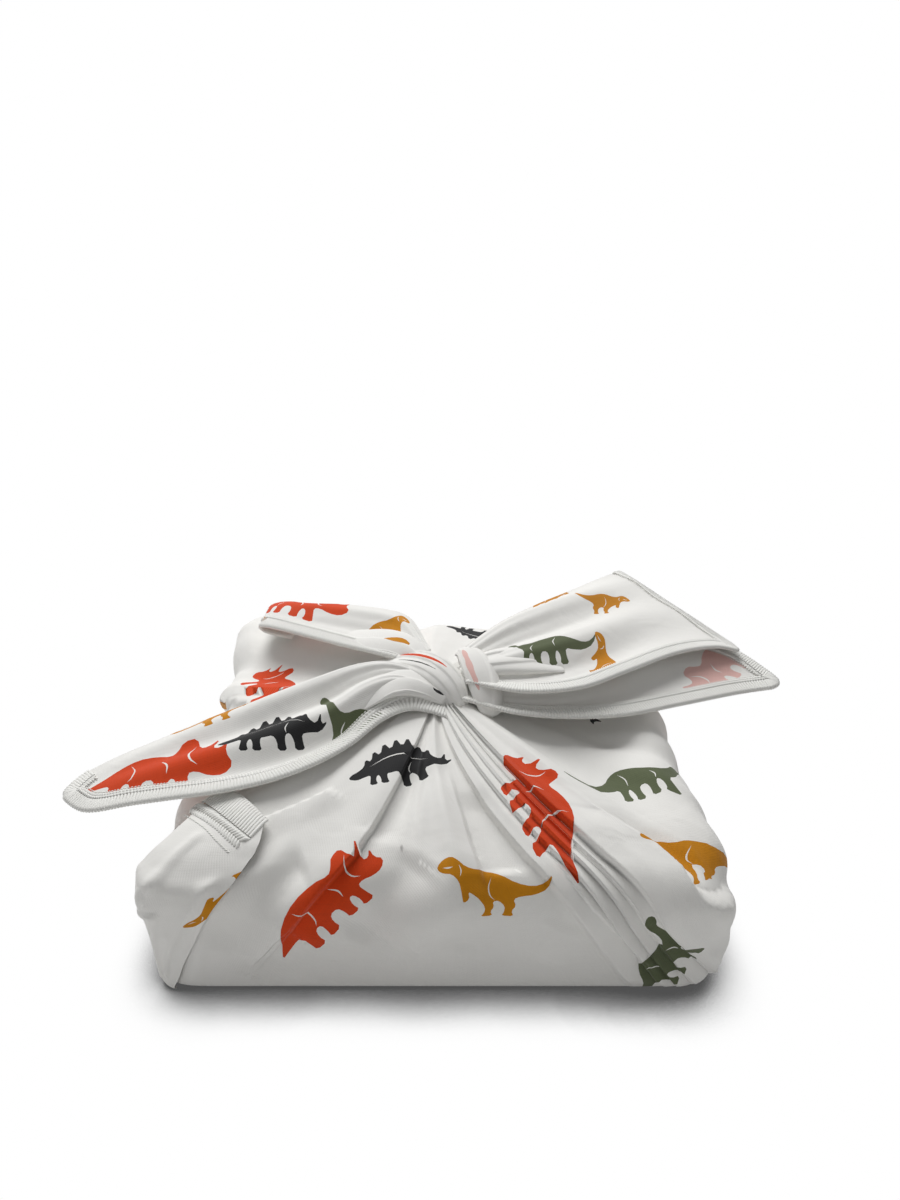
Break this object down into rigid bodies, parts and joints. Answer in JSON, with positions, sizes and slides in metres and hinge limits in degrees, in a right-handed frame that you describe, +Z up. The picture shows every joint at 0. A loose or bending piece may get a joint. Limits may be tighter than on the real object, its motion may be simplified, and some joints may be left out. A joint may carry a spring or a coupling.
{
  "type": "furoshiki wrap",
  "caption": "Square cotton wrapping cloth drawn up round a low square pack, its corners tied in a knot on top and left to spread as broad leaves.",
  "frame": {"origin": "middle of the wrap's flat underside", "axes": "+Z up, -Y towards the front face, +X to the right seen from the front"},
  "size_m": [0.2548, 0.199, 0.0735],
  "materials": {
    "printed_cotton": "plain weave cotton, printed with small animal figures, edges overlocked"
  },
  "bodies": {
    "root": {"furoshiki_cloth": "printed_cotton"}
  },
  "joints": []
}
